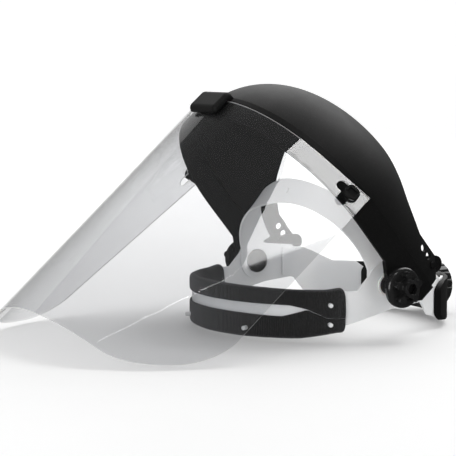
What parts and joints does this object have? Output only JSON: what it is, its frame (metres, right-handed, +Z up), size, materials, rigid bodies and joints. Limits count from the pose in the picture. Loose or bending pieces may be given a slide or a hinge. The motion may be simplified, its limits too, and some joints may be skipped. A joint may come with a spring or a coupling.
{
  "type": "face shield",
  "caption": "Flip-up face shield: black crown with dome and clear bent window, pivoting on a white headband with fabric sweatband, crown strap, ratchet nape unit and side tension knobs.",
  "frame": {"origin": "middle of the visor's pivot axis, between the two pivot bolts, at the level of the wearer's temples", "axes": "+Z up with the headband level, +X towards the wearer's left, the wearer looks along -Y; rest pose is the pictured one with the visor flipped up 50 degrees"},
  "size_m": [0.2352, 0.3542, 0.1743],
  "materials": {
    "black_shell": "fine moulded texture",
    "clear_window": "clear, polished sheet",
    "white_strap": "satin, slightly translucent",
    "sweatband_cloth": "ribbed cloth over foam",
    "cushion_foam": "soft foam",
    "bolt_head": "satin",
    "washer_nylon": "matt, natural nylon",
    "knob_black": "glossy",
    "insert_brass": "turned",
    "screw_steel": "plain"
  },
  "bodies": {
    "headgear": {"headband": "white_strap", "sweatband": "sweatband_cloth", "crown_strap_left": "white_strap", "crown_strap_right": "white_strap", "pivot_bolt_left": "bolt_head", "pivot_bolt_right": "bolt_head", "friction_washer_left": "washer_nylon", "friction_washer_right": "washer_nylon"},
    "visor": {"crown_shell": "black_shell", "window": "clear_window", "front_clip": "black_shell", "stop_arm_left": "black_shell", "stop_arm_right": "black_shell"},
    "left_knob": {"tension_knob_left": "knob_black", "knob_insert_left": "insert_brass"},
    "right_knob": {"tension_knob_right": "knob_black", "knob_insert_right": "insert_brass"},
    "nape_unit": {"rear_band_left": "white_strap", "rear_band_right": "white_strap", "nape_housing": "black_shell", "nape_cover": "black_shell", "nape_cushion": "cushion_foam"},
    "dial": {"ratchet_dial": "knob_black", "pinion": "white_strap", "dial_screw": "screw_steel"}
  },
  "joints": [
    {"name": "visor_flip", "type": "hinge", "parent": "headgear", "child": "visor", "pos_m": [0, 0, 0], "axis": [-1, 0, 0], "range_deg": [-50, 30]},
    {"name": "left_knob_turn", "type": "hinge", "parent": "headgear", "child": "left_knob", "pos_m": [0.1, 0, 0], "axis": [1, 0, 0], "range_deg": [-180, 180]},
    {"name": "right_knob_turn", "type": "hinge", "parent": "headgear", "child": "right_knob", "pos_m": [-0.1, 0, 0], "axis": [-1, 0, 0], "range_deg": [-180, 180]},
    {"name": "nape_slide", "type": "slide", "parent": "headgear", "child": "nape_unit", "axis": [0, 1, 0], "range_m": [-0.009, 0.004]},
    {"name": "dial_turn", "type": "hinge", "parent": "nape_unit", "child": "dial", "pos_m": [0, 0.105, -0.017], "axis": [0, 1, 0], "range_deg": [-135, 61]}
  ],
  "couplings": [
    {"joint": "dial_turn", "follows": "nape_slide", "rad_per_m": 256.41}
  ]
}
